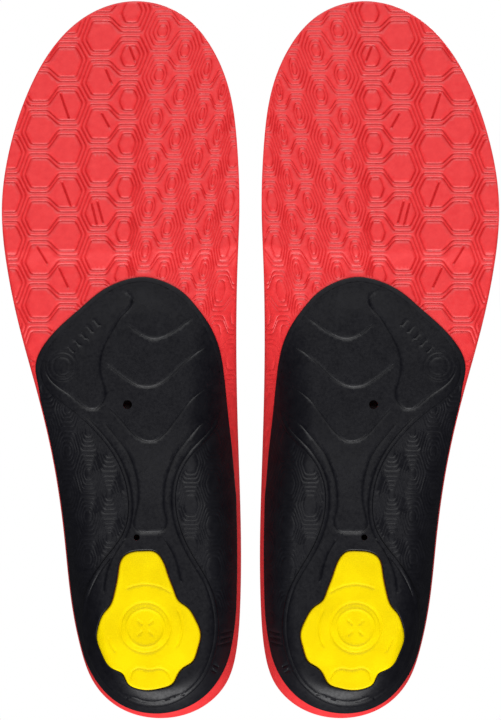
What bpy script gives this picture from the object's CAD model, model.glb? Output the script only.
import math

import bmesh
import bpy
import numpy as np
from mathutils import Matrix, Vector, kdtree
from mathutils.geometry import delaunay_2d_cdt


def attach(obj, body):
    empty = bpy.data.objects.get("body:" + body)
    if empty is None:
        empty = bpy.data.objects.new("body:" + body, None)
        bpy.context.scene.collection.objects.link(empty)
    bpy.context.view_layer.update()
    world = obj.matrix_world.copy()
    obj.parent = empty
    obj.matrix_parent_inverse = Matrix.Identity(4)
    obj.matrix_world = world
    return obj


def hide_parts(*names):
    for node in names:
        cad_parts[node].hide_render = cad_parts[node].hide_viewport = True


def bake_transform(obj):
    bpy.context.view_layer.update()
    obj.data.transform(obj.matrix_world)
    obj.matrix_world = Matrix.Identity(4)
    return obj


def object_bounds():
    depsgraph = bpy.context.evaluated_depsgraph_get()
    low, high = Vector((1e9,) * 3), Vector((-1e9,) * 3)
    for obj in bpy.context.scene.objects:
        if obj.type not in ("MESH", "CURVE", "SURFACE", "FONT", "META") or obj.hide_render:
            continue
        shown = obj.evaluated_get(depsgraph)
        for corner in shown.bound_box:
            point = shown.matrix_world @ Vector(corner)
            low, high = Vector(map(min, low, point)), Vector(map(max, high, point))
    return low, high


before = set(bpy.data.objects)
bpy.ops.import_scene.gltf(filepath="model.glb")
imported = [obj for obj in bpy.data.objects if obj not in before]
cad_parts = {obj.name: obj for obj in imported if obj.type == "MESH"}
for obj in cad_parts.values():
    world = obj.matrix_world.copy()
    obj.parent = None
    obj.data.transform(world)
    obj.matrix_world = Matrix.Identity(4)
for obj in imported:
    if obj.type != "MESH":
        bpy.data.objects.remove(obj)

# A pair of contoured insoles, seen from below.  Every surface is worked out for the right
# insole, in millimetres, and its twin is the mirror image across the YZ plane.  The heights
# follow the same rules as the CAD layers, so the pieces fill the spaces of their nodes.

CAD_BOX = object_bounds()
MM = 0.001

# ---------------------------------------------------------------- driving dimensions, mm

HEEL_RIM = 16.0           # rise of the heel cup's wall
ARCH_RISE = 5.5           # extra rise of the inner wall at the arch
CAMBER = 2.4              # hollow under the waist
WALL_RUN = 15.0           # plan width of the cup's wall
ARCH_RUN = 9.0            # extra plan width of the wall at the arch
WAIST = -25.0             # middle of the arch and of the hollow under it, along the foot
HEEL_MIDDLE = 36.5        # the foot's middle line at the heel, across the foot
HEEL_WIDTH = 66.0
BALL_SHIFT = 14.0         # how far outwards the middle line has moved at the ball
BALL_GAIN = 27.0          # what the width has gained at the ball
WALL_POWER = 2.2          # how steeply the wall sweeps up
EDGE_TAPER = 0.5          # share of the layers' thickness that the rim loses
RIM_BAND = 2.6            # height of the trimmed band along the rim
OUTER_INSET = 0.4         # shell's edge inside the outline on the outer side
INNER_INSET = 1.1         # what the inset gains on the inner side
HEEL_INSET = 1.1          # what it gains again at the heel's inner corner
REAR_INSET = 0.9          # what it gains round the back of the heel
BASE_LIP = 1.3            # ground to the base's underside at the heel
CLEAR_HEIGHT = 10.8       # trim height where there is no wall, above every layer

# Layer surfaces: forefoot height, heel height, wall inset, whether it's an underside.
LEVELS = {
    "pad_bottom": (-1.0, -1.0, -1.2, True),
    "stabiliser_bottom": (0.2, 0.3, -0.9, True),
    "shell_bottom": (0.4, 0.9, -0.5, True),
    "base_bottom": (-1.0, BASE_LIP, 0.0, True),
    "shell_top": (0.8, 2.2, 0.5, True),
    "pad_top": (1.6, 4.0, 0.9, True),
    "base_top": (3.2, 5.2, 1.3, False),
    "comfort_top": (4.6, 6.8, 1.9, False),
    "cover_top": (5.4, 7.6, 2.3, False),
}

STATIONS = (              # along the foot, inner edge, outer edge
    (134.0, 25.7, 64.4), (122.0, 15.2, 77.0), (105.0, 8.2, 86.6), (84.0, 5.2, 93.6),
    (60.0, 4.3, 97.0), (38.0, 5.0, 95.3), (12.0, 5.5, 90.0), (-12.0, 5.3, 83.5),
    (-40.0, 4.5, 77.0), (-70.0, 3.7, 72.7), (-96.0, 4.0, 69.8), (-113.0, 5.4, 66.3),
    (-126.0, 9.3, 61.3), (-135.0, 17.8, 52.7),
)
TOE_TIP = (43.5, 140.0)
HEEL_TIP = (34.7, -140.0)

# Front edge of the support shell, from the outer edge over the lobe to the inner edge.
SHELL_FRONT = (
    (81.5, -24.0), (82.9, -10.0), (83.9, -2.0), (80.5, 6.0), (66.3, 20.3), (57.7, 27.3),
    (49.1, 31.2), (41.7, 32.4), (33.2, 30.4), (26.5, 26.5), (20.7, 20.3), (15.6, 12.9),
    (12.1, 4.3), (10.3, -5.9), (8.7, -21.5), (7.0, -37.0), (5.9, -50.0), (4.4, -62.0),
)

# Edge of the stabiliser: front plate, waist, and the ring round the heel pad.
STABILISER = (
    (80.4, -10.0), (82.1, -2.0), (78.9, 5.0), (65.4, 18.8), (56.9, 25.8), (48.8, 29.6),
    (41.8, 30.7), (34.0, 28.8), (27.6, 25.0), (22.0, 19.0), (17.1, 12.0), (13.6, 3.6),
    (11.6, -6.3), (10.9, -18.5), (13.5, -27.0), (22.2, -36.3), (28.0, -46.5),
    (29.0, -57.0), (23.4, -74.5), (15.6, -88.2), (12.4, -101.0), (13.1, -112.0),
    (16.9, -122.5), (24.5, -131.0), (36.0, -135.6), (49.5, -132.8), (58.6, -124.6),
    (64.2, -113.5), (66.2, -102.0), (64.4, -90.2), (57.0, -77.6), (49.4, -66.5),
    (48.0, -53.0), (52.0, -39.8), (60.8, -27.7), (71.0, -18.6),
)

# Edge of the heel pad: a heel disc with a neck in front of it and a foot behind it.
HEEL_PAD = (
    (41.5, -74.6), (46.0, -75.0), (49.4, -76.8), (51.4, -83.3), (52.9, -91.0),
    (54.8, -96.1), (56.9, -98.6), (59.0, -103.3), (59.8, -108.4), (57.9, -114.3),
    (54.9, -119.4), (52.3, -120.9), (49.6, -122.5), (47.6, -126.2), (45.1, -127.7),
    (39.7, -128.6), (34.2, -127.8), (30.5, -126.2), (28.6, -122.7), (25.7, -119.6),
    (23.2, -118.1), (20.9, -113.0), (19.7, -106.8), (21.6, -101.4), (25.1, -96.3),
    (28.2, -94.0), (30.0, -90.2), (32.3, -84.2), (35.4, -76.8), (37.4, -75.0),
)

VENTS = ((48.0, -17.4, 1.75), (44.4, -69.2, 1.2))  # centre and radius of each vent hole
PAD_GAP = 0.35                                     # between the pad and its window


# ---------------------------------------------------------------- plan curves

def spline_bends(knots, points, closed):
    """Second derivatives of the smooth curve through points, by the usual tridiagonal system."""
    count = len(points)
    system = np.zeros((count, count))
    target = np.zeros((count, 2))
    steps = np.diff(knots)
    inner = range(count) if closed else range(1, count - 1)
    for i in inner:
        before, after = steps[i - 1], steps[i % len(steps)]
        last, following = (i - 1) % count, (i + 1) % count
        system[i, last] += before
        system[i, i] += 2.0 * (before + after)
        system[i, following] += after
        target[i] = 6.0 * ((points[following] - points[i]) / after
                           - (points[i] - points[last]) / before)
    if not closed:
        system[0, 0] = system[-1, -1] = 1.0
    return np.linalg.solve(system, target)


def spline(pairs, spacing, closed):
    """Points spaced evenly along the smooth curve through the given ones."""
    points = np.array(pairs, float)
    ends = np.vstack([points, points[:1]]) if closed else points
    knots = np.concatenate([[0.0], np.cumsum(np.hypot(*np.diff(ends, axis=0).T))])
    bends = spline_bends(knots, points, closed)
    if closed:
        bends = np.vstack([bends, bends[:1]])
    fine = np.linspace(0.0, knots[-1], int(knots[-1] / spacing) * 8 + 9)
    piece = np.clip(np.searchsorted(knots, fine, side="right") - 1, 0, len(knots) - 2)
    step = (knots[piece + 1] - knots[piece])[:, None]
    after = ((fine - knots[piece])[:, None]) / step
    before = 1.0 - after
    curve = (before * ends[piece] + after * ends[piece + 1]
             + ((before ** 3 - before) * bends[piece]
                + (after ** 3 - after) * bends[piece + 1]) * step ** 2 / 6.0)
    return even(curve, spacing, closed)


def even(curve, spacing, closed):
    """The same curve with its points spaced evenly."""
    if closed and np.hypot(*(curve[0] - curve[-1])) > 1.0e-6:
        curve = np.vstack([curve, curve[:1]])
    reach = np.concatenate([[0.0], np.cumsum(np.hypot(*np.diff(curve, axis=0).T))])
    count = max(int(round(reach[-1] / spacing)), 3)
    places = np.linspace(0.0, reach[-1], count + 1)
    if closed:
        places = places[:-1]
    return np.column_stack([np.interp(places, reach, curve[:, i]) for i in (0, 1)])


def normals(loop):
    """Inward normals of a closed loop that runs down the outer side and up the inner one."""
    along = np.roll(loop, -1, axis=0) - np.roll(loop, 1, axis=0)
    along /= np.hypot(*along.T)[:, None]
    return np.column_stack([along[:, 1], -along[:, 0]])


def inset(loop, distance):
    """The loop moved inwards by a distance, which may differ from point to point."""
    return loop + normals(loop) * np.broadcast_to(distance, len(loop))[:, None]


class Region:
    """A closed plan outline that knows how far inside it any point lies."""

    def __init__(self, loop):
        turned = np.sum(loop[:, 0] * np.roll(loop[:, 1], -1) - loop[:, 1] * np.roll(loop[:, 0], -1))
        self.loop = loop if turned < 0.0 else loop[::-1].copy()
        self.tree = kdtree.KDTree(len(loop))
        for index, (x, y) in enumerate(self.loop):
            self.tree.insert((x, y, 0.0), index)
        self.tree.balance()

    def depth(self, points):
        """Distance to the outline: positive inside, negative outside."""
        nearest = np.array([self.tree.find((x, y, 0.0))[1] for x, y in points])
        count = len(self.loop)
        best = np.full(len(points), 1.0e9)
        sign = np.ones(len(points))
        for shift in (-1, 0):
            start = self.loop[(nearest + shift) % count]
            side = self.loop[(nearest + shift + 1) % count] - start
            offset = points - start
            share = np.clip(np.sum(offset * side, axis=1) / np.sum(side * side, axis=1), 0.0, 1.0)
            away = np.hypot(*(offset - side * share[:, None]).T)
            cross = side[:, 0] * offset[:, 1] - side[:, 1] * offset[:, 0]
            closer = away < best - 1.0e-9
            sign = np.where(closer, np.where(cross <= 0.0, 1.0, -1.0), sign)
            best = np.minimum(best, away)
        return best * sign


FAR = 1.0e6               # a depth that every point keeps to


def within(*tests):
    """A region test from (region, least depth, greatest depth) limits."""
    def accept(points):
        good = np.ones(len(points), bool)
        for region, least, greatest in tests:
            depth = region.depth(points)
            good &= (depth > least) & (depth < greatest)
        return good
    return accept


def outline_points():
    outer = [(x, y) for y, _, x in STATIONS]
    inner = [(x, y) for y, x, _ in reversed(STATIONS)]
    return [TOE_TIP] + outer + [HEEL_TIP] + inner


FINE = 0.5                # spacing of the points that distances are measured from
OUTLINE = Region(spline(outline_points(), FINE, True))
STABILISER_REGION = Region(spline(STABILISER, FINE, True))
PAD_REGION = Region(spline(HEEL_PAD, FINE, True))


def rise_between(value, start, end):
    """Rise smoothly from 0 at start to 1 at end."""
    share = np.clip((value - start) / (end - start), 0.0, 1.0)
    return share * share * (3.0 - 2.0 * share)


def outer_share(x, y):
    """0 at the inner (arch) edge of the foot, 1 at the outer edge."""
    widening = rise_between(y, -100.0, 60.0)
    middle = HEEL_MIDDLE + BALL_SHIFT * widening
    half = (HEEL_WIDTH + BALL_GAIN * widening) / 2.0
    return rise_between(x, middle - half, middle + half)


def shell_inset(points):
    """Distance of the shell's edge inside the insole's outline."""
    x, y = points.T
    inner_gain = INNER_INSET + HEEL_INSET * rise_between(-y, 95.0, 125.0)
    rear_gain = REAR_INSET * rise_between(-y, 114.0, 130.0)
    return OUTER_INSET + rear_gain + inner_gain * (1.0 - outer_share(x, y)) ** 2


def shell_loop():
    """The inset outline behind the shell's front edge, joined to that edge."""
    room = shell_inset(OUTLINE.loop)
    edge = inset(OUTLINE.loop, room)
    front = spline(SHELL_FRONT, FINE, False)
    front = front[OUTLINE.depth(front) > shell_inset(front)]
    start = np.argmin(np.hypot(*(edge - front[0]).T))
    stop = np.argmin(np.hypot(*(edge - front[-1]).T))
    behind = edge[start + 1:stop] if start < stop else np.vstack([edge[start + 1:], edge[:stop]])
    return even(np.vstack([behind, front[::-1]]), FINE, True)


SHELL_REGION = Region(shell_loop())


# ---------------------------------------------------------------- heights

def arch_share(y):
    return np.exp(-(((y - WAIST) / 36.0) ** 2))


def wall_rise(x, y):
    """Height of the wall's top edge above the layer's floor."""
    inner = HEEL_RIM * rise_between(-y, -60.0, 40.0) + ARCH_RISE * arch_share(y)
    outer = HEEL_RIM * rise_between(-y, -50.0, 115.0)
    share = outer_share(x, y)
    return inner * rise_between(-y, -64.0, -30.0) * (1.0 - share) + outer * share


def waist_hollow(x, y):
    return CAMBER * np.exp(-(((y - WAIST) / 26.0) ** 2)) * (1.0 - 0.6 * outer_share(x, y))


def height(points, level, depth=None):
    """Height of a layer surface over plan points."""
    front, rear, wall_inset, underside = LEVELS[level]
    x, y = points.T
    if depth is None:
        depth = OUTLINE.depth(points)
    rise = wall_rise(x, y)
    run = WALL_RUN + ARCH_RUN * arch_share(y) * (1.0 - outer_share(x, y))
    share = rise_between(-y, -50.0, -34.0) if underside else rise_between(-y, -50.0, 40.0)
    floor = front + (rear - front) * share
    edge = 1.0 - rise_between(depth, 0.0, run)
    floor *= 1.0 - EDGE_TAPER * edge * np.minimum(rise / HEEL_RIM, 1.0)
    slope = np.clip(1.0 - (depth - wall_inset) / run, 0.0, None)
    wall = rise * np.where(slope <= 1.0, slope ** WALL_POWER, 1.0 + WALL_POWER * (slope - 1.0))
    surface = floor + waist_hollow(x, y) + wall
    return np.maximum(surface, 0.0) if underside else surface


def rim_height(points):
    """Height at which the wall is trimmed; clear of the insole where there is no wall."""
    x, y = points.T
    rise = wall_rise(x, y)
    trimmed = BASE_LIP * EDGE_TAPER + RIM_BAND
    share = rise_between(rise, 1.0, 9.0)
    return CLEAR_HEIGHT + (trimmed - CLEAR_HEIGHT) * share + waist_hollow(x, y) + rise


# ---------------------------------------------------------------- grooves

STEP = 0.25               # spacing of the points along a groove


def rounded(pairs, shares, closed, corner):
    """Points along straight stretches with rounded corners, and each point's share."""
    ends = np.vstack([pairs, pairs[:1]]) if closed else np.array(pairs, float)
    points, weights = [], []
    for start, end, share in zip(ends, ends[1:], shares):
        count = max(int(round(math.hypot(*(end - start)) / STEP)), 1)
        places = np.arange(count)[:, None] / count
        points.append(start + (end - start) * places)
        weights.append(np.full(count, share))
    table = np.column_stack([np.vstack(points), np.concatenate(weights)])
    reach = max(int(round(corner / STEP)), 1)
    window = np.hanning(2 * reach + 3)[1:-1]
    window /= window.sum()
    padded = np.pad(table, ((reach, reach), (0, 0)), mode="wrap" if closed else "edge")
    table = np.column_stack([np.convolve(column, window, "valid") for column in padded.T])
    return table[:, :2], table[:, 2]


class Grooves:
    """Lines moulded into a face, kept as plan points with a half width and a depth each."""

    def __init__(self):
        self.spots, self.across, self.half, self.deep = [], [], [], []
        self.tree = None

    def add(self, path, half, deep, closed=False, fade=(0.0, 0.0)):
        """A path of points STEP apart; deep is a number or one per point, negative for a ridge.

        An open path dies out over the fade lengths at its two ends."""
        if closed:
            along = np.roll(path, -1, axis=0) - np.roll(path, 1, axis=0)
        else:
            along = np.gradient(path, axis=0)
        along /= np.maximum(np.hypot(*along.T), 1.0e-9)[:, None]
        strength = np.broadcast_to(deep, len(path)).astype(float)
        if not closed:
            reach = np.arange(len(path)) * STEP
            strength = strength * rise_between(reach, -0.01, fade[0])
            strength = strength * rise_between(reach[::-1], -0.01, fade[1])
        self.spots.append(path)
        self.across.append(np.column_stack([-along[:, 1], along[:, 0]]))
        self.half.append(np.full(len(path), half))
        self.deep.append(strength)

    def curve(self, pairs, half, deep, closed=False, fade=(2.0, 2.0)):
        self.add(spline(pairs, STEP, closed), half, deep, closed, fade)

    def straight(self, ends, half, deep):
        path, _ = rounded(np.array(ends, float), [1.0], False, 0.8)
        self.add(path, half, deep, fade=(0.6, 0.6))

    def clip(self, first, accept):
        """Leave out what accept() rejects in the paths from number first on."""
        for path in range(first, len(self.spots)):
            good = accept(self.spots[path])
            for column in (self.spots, self.across, self.half, self.deep):
                column[path] = column[path][good]

    def keep(self, accept):
        """Close the list, with only the points that accept() allows."""
        table = [np.concatenate(column) for column in (self.spots, self.across, self.half, self.deep)]
        good = accept(table[0])
        self.spots, self.across, self.half, self.deep = [column[good] for column in table]
        self.tree = kdtree.KDTree(len(self.spots))
        for index, (x, y) in enumerate(self.spots):
            self.tree.insert((x, y, 0.0), index)
        self.tree.balance()
        return self

    def relief(self, points):
        """Depth below the face at each point; negative on ridges."""
        found = [self.tree.find((x, y, 0.0)) for x, y in points]
        index = np.array([item[1] for item in found])
        away = np.array([item[2] for item in found]) / self.half[index]
        return self.deep[index] * np.where(away < 1.0, 0.5 + 0.5 * np.cos(math.pi * away), 0.0)

    def mesh_points(self):
        """Points on and beside the grooves, so that the mesh follows them."""
        spots, across = self.spots[::2], self.across[::2] * self.half[::2, None]
        return np.vstack([spots + across * share for share in (0.0, -1.0, 1.0, -0.5, 0.5)])


def circle(centre, radius, start=0.0, end=360.0, count=48):
    angles = np.radians(np.linspace(start, end, count + 1))
    return [(centre[0] + radius * math.cos(a), centre[1] + radius * math.sin(a)) for a in angles]


# ---------------------------------------------------------------- contour-map hexagons

SIDE_RUN = 3.8            # how far a cell's slanted side leans between its corners
RUN_SHARE = 0.3           # the same as a share of the column gap, where columns are close
FIRST_FINE = 5            # the column, counted inwards, from which the grooves are finer
FINER = 0.7               # half width and depth of those grooves, as a share of the others
LONE_GAP = 11.0           # column gap taken past the lattice's edge
FULL_ROOM = 9.0           # half width of a cell that keeps its rings' full spacing sideways
TIGHTEST = 0.54           # the least share of that spacing, in the narrowest cells
FLAT_SHARE = 0.85         # depth of a ring's flat sides, as a share of its deep slanted sides
FAINT_SHARE = 0.7         # depth of the slanted sides that run the other way


def meet(first, second):
    """Where two lines cross, each given by a point and a direction."""
    (p, u), (q, v) = first, second
    cross = u[0] * v[1] - u[1] * v[0]
    return p + u * ((q[0] - p[0]) * v[1] - (q[1] - p[1]) * v[0]) / cross


class Lattice:
    """Columns of hexagonal cells with nested rings, from the outer side of the foot inwards.

    A column is its place across the foot, its lean, one centre along the foot, the cell pitch
    and the number of rings.  The rows run from low to high.  The first ring lies that far
    inside its cell, and each further one lies a step inside the last.  Ring corners run: top
    outer, top inner, inner, bottom inner, bottom outer, outer."""

    def __init__(self, columns, low, high, first, step):
        self.columns, self.first, self.step = columns, first, step
        self.rows = []
        for _, _, y, pitch, _ in columns:
            rows = np.arange(math.floor((low - y) / pitch), math.ceil((high - y) / pitch) + 1)
            self.rows.append(y + pitch * rows)

    def across(self, column, y):
        x, lean = self.columns[column][:2]
        return x + lean * (y - 90.0)

    def beside(self, column, y):
        """Rows just above and below y in a column, or None past the lattice's edge."""
        if not 0 <= column < len(self.columns):
            return None
        rows = self.rows[column]
        above, below = rows[rows > y], rows[rows <= y]
        return (above[0], below[-1]) if len(above) and len(below) else None

    def border(self, column, y):
        half = self.columns[column][3] / 2.0
        middle = self.across(column, y)
        sides = []
        for neighbour, turn in ((column - 1, 1.0), (column + 1, -1.0)):
            pair = self.beside(neighbour, y)
            level = sum(pair) / 2.0 if pair else y
            gap = abs(self.across(neighbour, y) - middle) if pair else LONE_GAP
            run = min(SIDE_RUN, RUN_SHARE * gap)
            sides.append((turn * (gap - run) / 2.0, turn * (gap + run) / 2.0, level))
        (outer_flat, outer, outer_level), (inner_flat, inner, inner_level) = sides
        top, bottom = self.across(column, y + half), self.across(column, y - half)
        return np.array([
            (top + outer_flat, y + half), (top + inner_flat, y + half), (middle + inner, inner_level),
            (bottom + inner_flat, y - half), (bottom + outer_flat, y - half),
            (middle + outer, outer_level)])

    def ring(self, column, y, index):
        """Corners of a cell's ring, counted from the outermost, or None if there's no room."""
        corners = self.border(column, y)
        centre = np.array([self.across(column, y), y])
        distance = self.first + self.step * index
        if distance > self.columns[column][3] / 2.0 - 1.0:
            return None
        lines = []
        for side, (start, end) in enumerate(zip(corners, np.roll(corners, -1, axis=0))):
            along = (end - start) / math.hypot(*(end - start))
            inwards = np.array([along[1], -along[0]])
            room = abs(float((centre - start) @ inwards))
            inwards = inwards if (centre - start) @ inwards > 0.0 else -inwards
            squeeze = 1.0 if side in (0, 3) else min(1.0, max(TIGHTEST, room / FULL_ROOM))
            lines.append((start + inwards * distance * squeeze, along))
        ring = np.array([meet(lines[i - 1], lines[i]) for i in range(6)])
        if ring[0, 0] < ring[1, 0]:
            ring[0] = ring[1] = meet(lines[5], lines[1])
        if ring[4, 0] < ring[3, 0]:
            ring[4] = ring[3] = meet(lines[2], lines[4])
        return ring

    def serpentine(self, column, y, index):
        """One line that weaves from this cell into its neighbour above on the inner side and
        back to the next cell of its own column, and the depth share of each stretch."""
        pitch = self.columns[column][3]
        other = self.beside(column + 1, y)[0]
        here, there = self.ring(column, y, index), self.ring(column + 1, other, 1 - index)
        above = self.ring(column, y + pitch, index)
        leave, arrive = self.ring(column, y, 0)[1, 0], self.ring(column + 1, other, 0)[4, 0]
        depart, return_x = self.ring(column + 1, other, 0)[0, 0], self.ring(column, y + pitch, 0)[3, 0]
        path = [(here[3] + here[4]) / 2.0, here[4], here[5], here[0], (leave, here[1, 1]),
                (arrive, there[4, 1]), there[3], there[2], there[1], (depart, there[0, 1]),
                (return_x, above[3, 1]), (above[3] + above[4]) / 2.0]
        shares = [FLAT_SHARE, 1.0, FAINT_SHARE, FLAT_SHARE, 1.0, FLAT_SHARE, FAINT_SHARE, 1.0,
                  FLAT_SHARE, FLAT_SHARE, FLAT_SHARE]
        return rounded(np.array(path), shares, False, 1.5)

    def carve(self, grooves, half, deep, flat=FLAT_SHARE, link=True):
        """Cut every ring; linked lattices run the two outermost rings of column pairs together."""
        around = [flat, 1.0, FAINT_SHARE, flat, 1.0, FAINT_SHARE]
        joined = set()
        for column, (_, _, _, _, rings) in enumerate(self.columns):
            finer = FINER if link and column >= FIRST_FINE else 1.0
            if link and column % 2 == 1 and column + 1 < len(self.columns):
                for y in self.rows[column]:
                    pair = self.beside(column + 1, y)
                    if pair is None:
                        continue
                    joined.add((column, y))
                    joined.add((column + 1, pair[0]))
                    for index in (0, 1):
                        points, strength = self.serpentine(column, y, index)
                        grooves.add(points, finer * half, finer * deep * strength)
            for y in self.rows[column]:
                for index in range(2 if (column, y) in joined else 0, rings):
                    ring = self.ring(column, y, index)
                    if ring is not None:
                        points, strength = rounded(ring, around, True, 1.4 if index < 3 else 0.9)
                        grooves.add(points, finer * half, finer * deep * strength, closed=True)


RING_HALF = 0.55          # half width of a moulded contour groove
RING_DEEP = 0.45

FOREFOOT = Lattice((
    (94.4, 0.0, 97.3, 16.9, 2), (82.7, 0.0, 89.9, 16.9, 2), (71.2, 0.0, 99.3, 16.95, 2),
    (58.9, -0.01, 92.2, 17.1, 2), (48.0, -0.035, 101.5, 17.1, 3), (37.1, -0.08, 94.1, 17.2, 4),
    (28.8, -0.10, 103.5, 17.3, 4), (18.9, -0.11, 96.1, 17.5, 4), (12.9, -0.10, 87.9, 17.5, 4),
    (5.6, -0.10, 97.0, 17.5, 3), (-1.5, -0.10, 88.0, 17.5, 3),
), low=-60.0, high=150.0, first=0.9, step=1.8)

# Short straight grooves across some of the open cells.
BARS = (
    ((74.3, 104.5), (70.6, 93.6)), ((56.7, 113.9), (53.8, 107.2)), ((58.3, 96.7), (54.6, 90.1)),
    ((73.7, 69.8), (69.8, 59.3)), ((62.2, 61.8), (59.7, 51.9)), ((59.9, 62.3), (57.3, 52.8)),
    ((83.4, 44.5), (78.8, 37.0)), ((74.9, 36.4), (70.8, 27.7)), ((47.4, 122.7), (44.7, 115.8)),
)


def forefoot_grooves():
    grooves = Grooves()
    FOREFOOT.carve(grooves, RING_HALF, RING_DEEP)
    for bar in BARS:
        grooves.straight(bar, RING_HALF, 0.5)
    return grooves.keep(within((OUTLINE, 0.5, FAR), (SHELL_REGION, -FAR, -0.7)))


OUTER_FLANK = Lattice((
    (79.5, 0.0, -44.3, 16.7, 4), (71.4, 0.0, -52.3, 16.7, 4), (63.3, 0.0, -44.3, 16.7, 4),
    (55.1, 0.0, -52.3, 16.7, 4), (47.0, 0.0, -44.3, 16.7, 4),
), low=-100.0, high=-5.0, first=1.0, step=1.75)
INNER_FLANK = Lattice((
    (32.1, 0.0, -31.9, 16.4, 3), (23.3, 0.0, -40.1, 16.4, 3), (14.5, 0.0, -31.9, 16.4, 3),
    (5.7, 0.0, -40.1, 16.4, 3),
), low=-100.0, high=-5.0, first=0.8, step=1.6)
HEEL_BARS = (
    ((12.4, -107.1), (5.4, -105.4)), ((12.4, -109.2), (5.6, -107.6)), ((12.4, -111.4), (6.2, -109.8)),
    ((16.4, -117.9), (12.0, -120.1)), ((16.9, -119.9), (12.9, -122.3)),
)


def flank_grooves():
    """Contour rings on both flanks of the shell, and short bars beside the heel."""
    grooves = Grooves()
    middle = 38.0
    OUTER_FLANK.carve(grooves, 0.58, 0.28, flat=0.45, link=False)
    grooves.clip(0, lambda points: points[:, 0] > middle)
    outer = len(grooves.spots)
    INNER_FLANK.carve(grooves, 0.6, 0.27, flat=0.4, link=False)
    grooves.clip(outer, lambda points: points[:, 0] < middle)
    grooves.clip(0, lambda points: (points[:, 1] < -8.0) & (points[:, 1] > -100.0))
    for bar in HEEL_BARS:
        grooves.straight(bar, 0.6, 0.65)
    return grooves.keep(within((SHELL_REGION, 0.9, FAR), (STABILISER_REGION, -FAR, -0.9)))


# ---------------------------------------------------------------- meshes

def hex_grid(low, high, pitch):
    """Evenly spaced points over a rectangle, in staggered rows."""
    rows = np.arange(low[1], high[1], pitch * math.sqrt(0.75))
    columns = np.arange(low[0], high[0], pitch)
    shift = (np.arange(len(rows)) % 2) * pitch / 2.0
    x = columns[None, :] + shift[:, None]
    return np.column_stack([x.ravel(), np.repeat(rows, len(columns))])


def thin(points, spacing, keep):
    """Drop points that crowd an earlier one; the first keep points always stay."""
    taken = {}
    kept = []
    cells = np.floor(points / spacing).astype(int)
    for index, ((i, j), (x, y)) in enumerate(zip(cells.tolist(), points.tolist())):
        crowded = False
        if index >= keep:
            for a in (i - 1, i, i + 1):
                for b in (j - 1, j, j + 1):
                    for u, v in taken.get((a, b), ()):
                        if (u - x) ** 2 + (v - y) ** 2 < spacing * spacing:
                            crowded = True
        if not crowded:
            taken.setdefault((i, j), []).append((x, y))
            kept.append(index)
    return points[kept]


def triangulate(loops, fill, spacing, accept):
    """Triangles over the plan region that accept() allows, with the loops as their borders."""
    borders = np.vstack(loops)
    edges = []
    start = 0
    for loop in loops:
        edges += [(start + i, start + (i + 1) % len(loop)) for i in range(len(loop))]
        start += len(loop)
    points = thin(np.vstack([borders, fill]), spacing, keep=len(borders))
    result = delaunay_2d_cdt([Vector(p) for p in points], edges, [], 0, 1.0e-5, False)
    corners = np.array([tuple(v) for v in result[0]])
    triangles = np.array([f for f in result[2] if len(f) == 3])
    middles = corners[triangles].mean(axis=1)
    return corners, triangles[accept(middles)]


WELD_REACH = 2.0e-6       # points nearer than this, in metres, become one


class Solid:
    """Patches and strips in millimetres, welded into one closed mesh."""

    def __init__(self):
        self.points, self.faces, self.count = [], [], 0

    def add(self, points, faces):
        self.points.append(points)
        self.faces += [tuple(self.count + i for i in face) for face in faces]
        self.count += len(points)

    def patch(self, plan, heights, triangles):
        self.add(np.column_stack([plan, heights]), triangles.tolist())

    def strips(self, rings):
        """Close the side between rings of equally many points."""
        for lower, upper in zip(rings, rings[1:]):
            count = len(lower)
            faces = [(i, (i + 1) % count, count + (i + 1) % count, count + i) for i in range(count)]
            self.add(np.vstack([lower, upper]), faces)

    def build(self, name, mirrored, crease):
        points = np.vstack(self.points) * MM
        if mirrored:
            points[:, 0] *= -1.0
        mesh = bpy.data.meshes.new(name)
        mesh.from_pydata(points.tolist(), [], self.faces)
        welded = bmesh.new()
        welded.from_mesh(mesh)
        bmesh.ops.remove_doubles(welded, verts=welded.verts, dist=WELD_REACH)
        bmesh.ops.recalc_face_normals(welded, faces=welded.faces)
        welded.to_mesh(mesh)
        welded.free()
        mesh.polygons.foreach_set("use_smooth", [True] * len(mesh.polygons))
        mesh.set_sharp_from_angle(angle=math.radians(crease))
        piece = bpy.data.objects.new(name, mesh)
        bpy.context.scene.collection.objects.link(piece)
        return piece


def ring_at(loop, heights):
    return np.column_stack([loop, np.broadcast_to(heights, len(loop))])


def insole_fill(pitch, least_depth):
    fill = hex_grid((2.0, -142.0), (99.0, 142.0), pitch)
    return fill[OUTLINE.depth(fill) > least_depth]


# ---------------------------------------------------------------- pieces

EDGE_SPACING = 1.1        # point spacing along the insole's edges
FINE_SPACING = 0.24       # least point spacing on a grooved face
HIDDEN_SPACING = 0.5      # the same on a face that lies against another piece
CHAMFER = 0.8             # bevel of the wall's lower edge behind the ball
CHAMFER_ENDS = (50.6, 60.6)  # where it ends at the ball, on the outer and the inner side
DEEPEST_TRIM = 9.0        # farthest from the outline that a surface leaves the trimmed rim


def trim_depths(loop, level):
    """How far inside the outline a layer surface comes out of the trimmed rim."""
    direction = normals(loop)
    low = np.zeros(len(loop))
    high = np.full(len(loop), DEEPEST_TRIM)
    above = height(loop, level) > rim_height(loop)
    for _ in range(18):
        middle = (low + high) / 2.0
        places = loop + direction * middle[:, None]
        over = height(places, level) > rim_height(places)
        low = np.where(over, middle, low)
        high = np.where(over, high, middle)
    return np.where(above, (low + high) / 2.0, 0.0)


def vent_loops():
    return [np.array(circle((x, y), radius, count=28)[:-1]) for x, y, radius in VENTS]


def level_rule(level):
    """The height rule of a layer surface."""
    return lambda points: height(points, level)


def trimmed_rule(level, lift=0.0):
    """A layer surface cut off at the rim, or a little above it."""
    return lambda points: np.minimum(height(points, level), rim_height(points) + lift)


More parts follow.
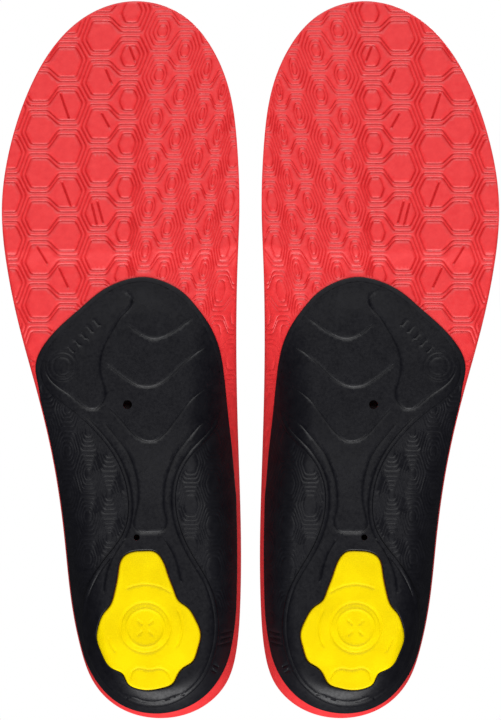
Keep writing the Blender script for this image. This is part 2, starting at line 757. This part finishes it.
def cut_out(solid, loops, holes, fill, spacing, rule):
    """A face inside the first loop and outside the holes; the other loops only mark folds."""
    limits = [(Region(loops[0]), 0.0, FAR)] + [(Region(hole), -FAR, 0.0) for hole in holes]
    plan, triangles = triangulate(loops + holes, fill, spacing, within(*limits))
    solid.patch(plan, rule(plan), triangles)


def bores(solid, holes, low, high):
    """The sides of holes that run from one height rule to another."""
    for hole in holes:
        solid.strips([ring_at(hole, low(hole)), ring_at(hole, high(hole))])


def foam_base():
    """The moulded base: grooved underside, swept wall with a chamfered edge, and rim."""
    grooves = forefoot_grooves()

    def face(points):
        near_shell = rise_between(-SHELL_REGION.depth(points), 0.4, 1.0)
        near_edge = rise_between(OUTLINE.depth(points), 0.3, 0.8)
        return height(points, "base_bottom") + grooves.relief(points) * near_shell * near_edge

    def underside(points):
        recess = SHELL_REGION.depth(points) > 0.06
        return np.where(recess, height(points, "shell_top"), face(points))

    top = trimmed_rule("base_top")
    outline = even(OUTLINE.loop, EDGE_SPACING, True)
    end = np.where(outer_share(*outline.T) > 0.5, *CHAMFER_ENDS)
    behind = rise_between(end - outline[:, 1], 0.0, 1.0)
    room = np.clip(-SHELL_REGION.depth(outline) - 0.15, 0.2, CHAMFER)
    bevel = 0.25 + (room - 0.25) * behind
    shell_edge = even(SHELL_REGION.loop, 0.9, True)
    recess_edge = inset(shell_edge, 0.12)
    border = inset(outline, bevel)
    vents = vent_loops()
    solid = Solid()

    coarse = insole_fill(1.5, 0.6)
    covered = SHELL_REGION.depth(coarse) > 1.5
    fill = np.vstack([grooves.mesh_points(), coarse[~covered], coarse[covered][::3]])
    cut_out(solid, [border, shell_edge, recess_edge], vents, fill, FINE_SPACING, underside)

    rim = top(outline)
    trimmed = trim_depths(outline, "base_top")
    start = height(outline, "base_bottom") + 0.25 + 0.5 * (bevel - 0.25)
    start = np.minimum(start, rim - 0.8)
    round_off = 0.35 * rise_between(trimmed, 0.2, 1.2)
    solid.strips([
        ring_at(border, face(border)),
        ring_at(inset(outline, 0.12 * bevel), start - 0.12),
        ring_at(outline, start + 0.1),
        ring_at(outline, rim - round_off - 0.02),
        ring_at(inset(outline, round_off * 0.3), rim - round_off * 0.3),
        ring_at(inset(outline, round_off + 0.02), rim),
    ])
    top_edge = inset(outline, np.maximum(trimmed, round_off + 0.04))
    solid.strips([ring_at(inset(outline, round_off + 0.02), rim), ring_at(top_edge, top(top_edge))])
    bores(solid, vents, level_rule("shell_top"), level_rule("base_top"))
    cut_out(solid, [top_edge], vents, insole_fill(3.2, 3.0), HIDDEN_SPACING, top)
    return solid


def sheet_layer(floor, ceiling, pitch, round_edge):
    """A full-length layer between two surfaces, trimmed along the rim."""
    bottom, top = trimmed_rule(floor), trimmed_rule(ceiling, 0.25 * round_edge)
    outline = even(OUTLINE.loop, EDGE_SPACING, True)
    low_depth = trim_depths(outline, floor)
    high_depth = trim_depths(outline, ceiling)
    low_edge = inset(outline, low_depth)
    high_edge = inset(outline, np.maximum(high_depth, low_depth) + round_edge)
    shoulder = inset(outline, low_depth + round_edge * 0.25)
    solid = Solid()
    cut_out(solid, [low_edge], [], insole_fill(3.4, 4.0), 1.2, bottom)
    low = bottom(low_edge)
    side_top = np.maximum(low + 0.02, trimmed_rule(ceiling)(shoulder))
    untrimmed = low_depth < 0.05
    side_top = np.where(untrimmed, side_top - 0.3 * round_edge, side_top)
    wall_top = np.where(untrimmed, side_top - 0.2 * round_edge, low + 0.01)
    solid.strips([ring_at(low_edge, low), ring_at(inset(outline, low_depth + 0.01), wall_top),
                  ring_at(shoulder, side_top), ring_at(high_edge, top(high_edge))])
    cut_out(solid, [high_edge], [], insole_fill(pitch, 1.5), min(1.0, 0.6 * pitch), top)
    return solid


ROUNDING = (1.0, 0.7, 0.42, 0.2, 0.06, 0.0)  # places across a rounded edge


def rounded_edge(solid, loop, face, rest, radius, turn):
    """A rounded edge from a piece's face to where it rests on its neighbour."""
    rings = []
    rest_height = rest(loop)
    for share in ROUNDING:
        place = inset(loop, turn * radius * share)
        drop = radius * (1.0 - math.sqrt(1.0 - (1.0 - share) ** 2))
        rings.append(ring_at(place, np.minimum(face(place) + drop, rest_height)))
    solid.strips(rings + [ring_at(loop, rest_height)])


def support_shell():
    """The thin stiff shell, with a window for the heel pad and contour grooves on its flanks."""
    grooves = flank_grooves()

    def face(points):
        return height(points, "shell_bottom") + grooves.relief(points)

    back = level_rule("shell_top")
    edge = even(SHELL_REGION.loop, 0.8, True)
    window = inset(even(PAD_REGION.loop, 0.8, True), -PAD_GAP)
    holes = [window] + vent_loops()
    radius = 0.35
    face_edge = inset(edge, radius)
    lip = even(STABILISER_REGION.loop, 0.9, True)
    solid = Solid()
    fill = insole_fill(1.5, 1.0)
    fill = fill[SHELL_REGION.depth(fill) > radius + 0.4]
    hidden = STABILISER_REGION.depth(fill) > 1.0
    fill = np.vstack([grooves.mesh_points(), fill[~hidden], fill[hidden][::3]])
    cut_out(solid, [face_edge, lip], holes, fill, FINE_SPACING, face)
    rounded_edge(solid, edge, face, back, radius, 1.0)
    bores(solid, holes, face, back)
    cut_out(solid, [edge], holes, insole_fill(3.0, 4.0), HIDDEN_SPACING, back)
    return solid


BADGE = (73.4, -2.4)      # middle of the rings on the lobe
FRONT_FEATHER = 14.0      # plan width over which the stabiliser thins to its front edge


def frame_grooves():
    """Flex grooves, channel lines, label lobe and trims of the stabiliser."""
    grooves = Grooves()
    for path in (
            ((48.0, 14.4), (41.7, 9.4), (37.8, 8.2), (33.9, 9.0), (26.5, 13.6), (19.3, 18.9)),
            ((56.6, -1.2), (49.1, -7.0), (43.7, -10.1), (39.0, -10.5), (34.3, -8.6), (26.5, -1.6),
             (14.4, 7.4)),
            ((55.0, -18.7), (49.1, -25.0), (43.7, -30.4), (37.8, -31.6), (35.1, -30.0), (26.9, -19.9),
             (20.7, -13.3), (12.5, -8.2))):
        grooves.curve(path, 0.5, 0.25, fade=(2.0, 1.0))
    grooves.curve((
        (57.0, -24.0), (52.7, -29.6), (48.0, -35.9), (45.2, -42.5), (43.7, -50.7), (43.7, -54.2),
        (45.2, -61.6), (45.4, -64.4), (43.7, -66.7), (38.6, -67.1), (34.7, -66.7), (32.8, -64.0),
        (33.5, -59.3), (33.9, -54.2), (33.2, -47.2), (32.0, -43.3), (28.9, -36.3), (23.4, -29.6),
        (17.9, -23.8), (11.5, -19.5)), 0.46, 0.26, fade=(1.0, 1.0))
    grooves.curve((
        (49.9, 27.3), (46.8, 25.0), (46.4, 22.2), (49.9, 17.6), (53.8, 11.7), (57.3, 5.1),
        (58.7, -0.4), (58.1, -7.0), (56.6, -12.9), (58.1, -17.2), (60.8, -19.1), (69.4, -14.4),
        (78.0, -7.8), (80.0, -3.9), (80.2, 0.8), (77.0, 5.4), (67.0, 15.6), (58.1, 23.4)),
        0.48, 0.28, closed=True)
    for path in (((49.1, -69.8), (53.4, -76.4), (56.2, -83.5), (57.3, -91.7)),
                 ((33.5, -69.8), (29.6, -76.8), (27.7, -83.5), (26.9, -87.4))):
        grooves.curve(path, 0.5, 0.3, fade=(1.0, 2.0))
    grooves.curve((
        (48.8, -132.6), (47.8, -131.7), (43.0, -132.6), (38.6, -133.4), (34.7, -133.0),
        (31.4, -131.8), (28.4, -130.7), (25.7, -130.6), (23.4, -132.2)), 0.5, 0.34, fade=(0.5, 0.5))
    for radius in (5.6, 3.7):
        grooves.curve(circle(BADGE, radius)[:-1], 0.4, 0.16, closed=True)
    for step in range(5):
        x, y = 70.0 - 2.5 * step, 4.2 + 2.6 * step
        grooves.straight([(x - 1.5, y - 1.4), (x + 1.5, y + 1.6)], 0.42, 0.36)
    sides = inset(even(STABILISER_REGION.loop, STEP, True), 1.7)
    depth = 0.3 * rise_between(-sides[:, 1], 18.0, 26.0)
    grooves.add(sides, 0.42, depth, closed=True)
    return grooves.keep(within((STABILISER_REGION, 0.9, FAR), (PAD_REGION, -FAR, -1.2)))


def stabiliser():
    """The smooth stiff frame over the shell, with its grooves and rounded edges."""
    grooves = frame_grooves()

    def face(points):
        """The frame's face; it thins to nothing towards the front edge."""
        rest = height(points, "shell_bottom")
        low = height(points, "stabiliser_bottom")
        inner = rise_between(-points[:, 0], -30.0, -22.0)
        front = rise_between(points[:, 1] + 16.0 * inner, -14.0, 0.0)
        taper = front * (1.0 - rise_between(STABILISER_REGION.depth(points), 0.0, FRONT_FEATHER))
        return np.minimum(low + (rest - low) * taper + grooves.relief(points), rest - 0.01)

    back = level_rule("shell_bottom")
    edge = even(STABILISER_REGION.loop, 0.7, True)
    window = inset(even(PAD_REGION.loop, 0.7, True), -PAD_GAP)
    vents = vent_loops()
    radius = 0.5
    face_edge = inset(edge, radius)
    lip_edge = inset(window, -radius)
    fill = insole_fill(1.3, 2.0)
    room = within((STABILISER_REGION, radius + 0.3, FAR), (PAD_REGION, -FAR, -radius - 0.7))
    fill = np.vstack([grooves.mesh_points(), fill[room(fill)]])
    solid = Solid()
    cut_out(solid, [face_edge], [lip_edge] + vents, fill, FINE_SPACING, face)
    rounded_edge(solid, edge, face, back, radius, 1.0)
    rounded_edge(solid, window, face, back, radius, -1.0)
    bores(solid, vents, face, back)
    cut_out(solid, [edge], [window] + vents, insole_fill(3.0, 4.0), HIDDEN_SPACING, back)
    return solid


PAD_MIDDLE = (41.0, -104.5)  # middle of the pad's rings
PAD_SPACING = 0.26        # least point spacing on the pad's face


def pad_grooves():
    """Raised rings, arcs and a plain four-bar mark on the heel pad."""
    grooves = Grooves()
    grooves.curve(circle(PAD_MIDDLE, 7.4)[:-1], 0.7, -0.3, closed=True)
    grooves.curve(circle(PAD_MIDDLE, 9.7)[:-1], 0.7, 0.3, closed=True)
    for radius, start, end in ((16.9, 62.0, 128.0), (14.3, 148.0, 214.0), (15.0, 318.0, 348.0)):
        grooves.curve(circle(PAD_MIDDLE, radius, start, end, 16), 0.6, 0.28, fade=(1.5, 1.5))
    grooves.curve(((46.8, -126.3), (46.2, -121.6), (43.6, -120.3), (39.4, -120.9), (35.4, -120.4),
                   (32.4, -121.9), (30.9, -125.2)), 0.6, 0.28, fade=(0.8, 0.8))
    for angle in (45.0, 135.0, 225.0, 315.0):
        turn = np.array([math.cos(math.radians(angle)), math.sin(math.radians(angle))])
        grooves.straight([PAD_MIDDLE + turn * 1.4, PAD_MIDDLE + turn * 4.9], 0.7, 0.3)
    return grooves.keep(within((PAD_REGION, 1.4, FAR)))


def heel_pad():
    """The soft pad in its window: crowned face, rounded shoulder and moulded rings."""
    grooves = pad_grooves()

    def face(points):
        crown = 0.5 + 0.3 * (1.0 - rise_between(PAD_REGION.depth(points), 0.0, 7.0))
        return height(points, "pad_bottom") + crown + grooves.relief(points)

    back = level_rule("pad_top")
    edge = inset(even(PAD_REGION.loop, 0.6, True), -0.18)
    radius = 0.8
    face_edge = inset(edge, radius)
    fill = insole_fill(0.95, 2.0)
    fill = np.vstack([grooves.mesh_points(), fill[PAD_REGION.depth(fill) > radius + 0.3]])
    solid = Solid()
    cut_out(solid, [face_edge], [], fill, PAD_SPACING, face)
    rounded_edge(solid, edge, face, back, radius, 1.0)
    cut_out(solid, [edge], [], insole_fill(2.6, 4.0), HIDDEN_SPACING, back)
    return solid


# ---------------------------------------------------------------- materials

GROOVE_REACH = 0.0012     # how near, in metres, another surface counts as a groove's side


class Finish:
    """A node material with the few links that every finish here shares."""

    def __init__(self, name, roughness, specular):
        self.material = bpy.data.materials.new(name)
        self.material.use_nodes = True
        self.nodes = self.material.node_tree.nodes
        self.links = self.material.node_tree.links
        self.shader = self.nodes["Principled BSDF"]
        self.shader.inputs["Roughness"].default_value = roughness
        self.shader.inputs["Specular IOR Level"].default_value = specular
        self.place = self.nodes.new("ShaderNodeTexCoord").outputs["Object"]

    def node(self, kind, **values):
        """A shader node with some inputs set; an underscore stands for a space."""
        made = self.nodes.new("ShaderNode" + kind)
        for name, number in values.items():
            made.inputs[name.replace("_", " ")].default_value = number
        return made

    def texture(self, kind, **values):
        """A texture node laid out by the piece's own coordinates."""
        made = self.node("Tex" + kind, **values)
        self.links.new(self.place, made.inputs["Vector"])
        return made

    def noise(self, scale, detail=3.0, roughness=0.5):
        return self.texture("Noise", Scale=scale, Detail=detail, Roughness=roughness).outputs["Fac"]

    def cells(self, scale):
        return self.texture("Voronoi", Scale=scale).outputs["Distance"]

    def bands(self, direction, scale, distortion):
        wave = self.texture("Wave", Scale=scale, Distortion=distortion)
        wave.bands_direction = direction
        return wave.outputs["Fac"]

    def spread(self, value, low, high, to_low, to_high):
        """A value's range from low to high, stretched to another range."""
        made = self.node("MapRange", From_Min=low, From_Max=high, To_Min=to_low, To_Max=to_high)
        self.links.new(value, made.inputs["Value"])
        return made.outputs["Result"]

    def blend(self, value, first, second):
        """A colour between two others; the second may come from another node."""
        made = self.nodes.new("ShaderNodeMix")
        made.data_type = "RGBA"
        made.inputs["A"].default_value = (*first, 1.0)
        if isinstance(second, tuple):
            made.inputs["B"].default_value = (*second, 1.0)
        else:
            self.links.new(second, made.inputs["B"])
        self.links.new(value, made.inputs["Factor"])
        return made.outputs["Result"]

    def colour(self, value, first, second, hollow=None):
        """Mottled colour; hollow is what dirt and shade turn the moulded grooves into."""
        mottled = self.blend(value, first, second)
        if hollow is not None:
            near = self.node("AmbientOcclusion", Distance=GROOVE_REACH)
            near.samples = 8
            mottled = self.blend(self.spread(near.outputs["AO"], 0.5, 0.97, 0.0, 1.0), hollow, mottled)
        self.links.new(mottled, self.shader.inputs["Base Color"])

    def gloss(self, scale, low, high):
        """Roughness that wanders between low and high."""
        wander = self.spread(self.noise(scale), 0.3, 0.7, low, high)
        self.links.new(wander, self.shader.inputs["Roughness"])

    def bump(self, value, strength, distance, under=None):
        made = self.node("Bump", Strength=strength, Distance=distance)
        self.links.new(value, made.inputs["Height"])
        if under is not None:
            self.links.new(under, made.inputs["Normal"])
        self.links.new(made.outputs["Normal"], self.shader.inputs["Normal"])
        return made.outputs["Normal"]


def base_foam_finish():
    """Moulded closed-cell foam: fine skin grain, faint mottling, soft satin."""
    finish = Finish("red_moulded_foam", 0.5, 0.32)
    mottle = finish.spread(finish.noise(320.0, 8.0, 0.75), 0.35, 0.65, 0.0, 1.0)
    finish.colour(mottle, (0.59, 0.022, 0.026), (0.66, 0.035, 0.037), hollow=(0.39, 0.006, 0.008))
    finish.gloss(600.0, 0.36, 0.50)
    skin = finish.bump(finish.noise(3800.0, 2.0), 0.25, 0.00006)
    finish.bump(finish.cells(1500.0), 0.14, 0.00008, skin)
    return finish.material


def comfort_foam_finish():
    """Open-cell foam seen only along its edge."""
    finish = Finish("dark_open_cell_foam", 0.9, 0.2)
    finish.colour(finish.spread(finish.cells(2200.0), 0.1, 0.6, 0.0, 1.0),
                  (0.004, 0.004, 0.0045), (0.014, 0.014, 0.015))
    finish.bump(finish.cells(2200.0), 0.6, 0.0002)
    return finish.material


def shell_finish(name, dark, light, roughness):
    """Black moulded polymer with a fine spark grain."""
    finish = Finish(name, roughness, 0.2)
    finish.colour(finish.spread(finish.noise(240.0), 0.35, 0.65, 0.0, 1.0), dark, light)
    finish.gloss(900.0, roughness - 0.06, roughness + 0.08)
    finish.bump(finish.noise(4200.0, 2.0), 0.2, 0.00005)
    return finish.material


def heel_pad_finish():
    """Soft yellow elastomer with a faint surface waviness."""
    finish = Finish("yellow_soft_elastomer", 0.4, 0.04)
    finish.colour(finish.spread(finish.noise(90.0), 0.35, 0.65, 0.0, 1.0),
                  (0.63, 0.47, 0.0005), (0.69, 0.53, 0.0008), hollow=(0.53, 0.36, 0.0004))
    finish.shader.inputs["Subsurface Weight"].default_value = 0.04
    finish.shader.inputs["Subsurface Radius"].default_value = (0.002, 0.0012, 0.0002)
    finish.shader.inputs["Subsurface Scale"].default_value = 1.0
    finish.bump(finish.noise(2600.0, 2.0), 0.18, 0.00005)
    return finish.material


def cover_finish():
    """Fine technical knit: rows of small stitches, with a soft sheen."""
    finish = Finish("anthracite_knit", 0.85, 0.2)
    stitches = finish.nodes.new("ShaderNodeMath")
    stitches.operation = "MULTIPLY"
    finish.links.new(finish.bands("X", 400.0, 0.6), stitches.inputs[0])
    finish.links.new(finish.bands("Y", 290.0, 0.8), stitches.inputs[1])
    finish.colour(stitches.outputs["Value"], (0.018, 0.018, 0.021), (0.075, 0.075, 0.082))
    finish.shader.inputs["Sheen Weight"].default_value = 0.35
    finish.shader.inputs["Sheen Roughness"].default_value = 0.5
    finish.bump(stitches.outputs["Value"], 0.7, 0.00016)
    return finish.material


# ---------------------------------------------------------------- stage

def pale_floor():
    """A pale floor that only shows from above, so that the undersides can be seen."""
    bpy.ops.mesh.primitive_plane_add(size=60.0, location=(0.0, 0.0, -0.0004))
    floor = bpy.context.object
    floor.name = "floor"
    finish = Finish("pale_floor", 0.8, 0.2)
    finish.colour(finish.noise(3.0), (0.80, 0.80, 0.80), (0.86, 0.86, 0.86))
    clear = finish.nodes.new("ShaderNodeBsdfTransparent")
    side = finish.nodes.new("ShaderNodeNewGeometry")
    mix = finish.nodes.new("ShaderNodeMixShader")
    finish.links.new(side.outputs["Backfacing"], mix.inputs["Fac"])
    finish.links.new(finish.shader.outputs["BSDF"], mix.inputs[1])
    finish.links.new(clear.outputs["BSDF"], mix.inputs[2])
    finish.links.new(mix.outputs["Shader"], finish.nodes["Material Output"].inputs["Surface"])
    floor.data.materials.append(finish.material)
    floor.visible_diffuse = False
    floor.visible_glossy = False
    floor.visible_transmission = False
    floor.visible_shadow = False


def lamp(name, kind, place, power):
    """A light at a place, turned towards the origin."""
    light = bpy.data.lights.new(name, kind)
    light.energy = power
    holder = bpy.data.objects.new(name, light)
    holder.location = place
    holder.rotation_euler = (-Vector(place)).to_track_quat("-Z", "Y").to_euler()
    bpy.context.scene.collection.objects.link(holder)
    return holder


def area_light(name, place, size, power):
    disk = lamp(name, "AREA", place, power)
    disk.data.shape = "DISK"
    disk.data.size = size
    disk.visible_camera = False


def studio():
    """Pale surroundings, soft lights below the toes and the heels, and daylight from above."""
    world = bpy.data.worlds.new("pale_room")
    world.use_nodes = True
    nodes, links = world.node_tree.nodes, world.node_tree.links
    background = nodes["Background"]
    background.inputs["Color"].default_value = (1.0, 1.0, 1.0, 1.0)
    seen = nodes.new("ShaderNodeLightPath")
    strength = nodes.new("ShaderNodeMapRange")
    strength.inputs["To Min"].default_value = 0.07
    strength.inputs["To Max"].default_value = 1.0
    links.new(seen.outputs["Is Camera Ray"], strength.inputs["Value"])
    links.new(strength.outputs["Result"], background.inputs["Strength"])
    bpy.context.scene.world = world
    area_light("key_below", (0.0, 1.25, -1.6), 1.6, 39.0)
    area_light("fill_below", (0.0, -1.3, -1.7), 1.7, 9.0)
    area_light("heel_side", (0.0, -0.9, -0.42), 0.8, 15.0)
    lamp("key_above", "SUN", (-0.35, 0.55, 1.0), 2.9).data.angle = math.radians(25.0)
    bpy.context.scene.view_settings.view_transform = "Standard"
    bpy.context.scene.view_settings.look = "None"


def camera():
    """Square to the undersides, toes up, at a long distance."""
    low, high = (Vector(corner) for corner in CAD_BOX)
    distance = 8.0
    seen_length = (high.y - low.y) * 1.003
    lens = bpy.data.cameras.new("from_below")
    lens.sensor_fit = "VERTICAL"
    lens.sensor_height = 24.0
    lens.lens = lens.sensor_height * distance / seen_length
    view = bpy.data.objects.new("camera", lens)
    view.location = ((low.x + high.x) / 2.0, (low.y + high.y) / 2.0, -distance)
    view.rotation_euler = (0.0, math.pi, 0.0)
    bpy.context.scene.collection.objects.link(view)
    bpy.context.scene.camera = view


# ---------------------------------------------------------------- assembly


def dress(piece, material, slot, *nodes):
    piece.data.materials.append(material)
    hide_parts(*nodes)
    return piece


def make_insole(side, mirrored, solids, finishes):
    """Every piece of one insole; the three full-length layers bend at the ball of the foot."""
    def piece(name, solid, slot, crease, *nodes):
        made = solids[solid].build(side + "_" + name, mirrored, crease)
        return dress(made, finishes[slot], slot, *(side + "_" + node for node in nodes))

    base = piece("base", "base", "foam_base", 42.0, "foam_base_rear", "foam_base_front")
    foam = piece("comfort_sheet", "foam", "comfort_foam", 50.0,
                 "comfort_foam_rear", "comfort_foam_front")
    cover = piece("knit_cover", "cover", "top_cover", 50.0, "top_cover_rear", "top_cover_front")
    for layer in (base, foam, cover):
        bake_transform(layer)

    shell = piece("shell", "shell", "support_shell", 48.0, "support_shell")
    brace = piece("stabiliser_frame", "frame", "stabiliser", 48.0, "stabiliser")
    pad = piece("pad", "pad", "heel_pad", 60.0, "heel_pad")
    for rigid in (shell, brace, pad):
        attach(rigid, side + "_rear")


def main():
    camera()
    pale_floor()
    studio()
    finishes = {
        "foam_base": base_foam_finish(),
        "comfort_foam": comfort_foam_finish(),
        "top_cover": cover_finish(),
        "support_shell": shell_finish(
            "black_shell", (0.0030, 0.0030, 0.0048), (0.0050, 0.0050, 0.0070), 0.44),
        "stabiliser": shell_finish(
            "black_frame", (0.0022, 0.0022, 0.0038), (0.0040, 0.0040, 0.0058), 0.4),
        "heel_pad": heel_pad_finish(),
    }
    solids = {
        "base": foam_base(),
        "foam": sheet_layer("base_top", "comfort_top", 3.0, 0.0),
        "cover": sheet_layer("comfort_top", "cover_top", 1.5, 0.45),
        "shell": support_shell(),
        "frame": stabiliser(),
        "pad": heel_pad(),
    }
    make_insole("right", False, solids, finishes)
    make_insole("left", True, solids, finishes)


main()
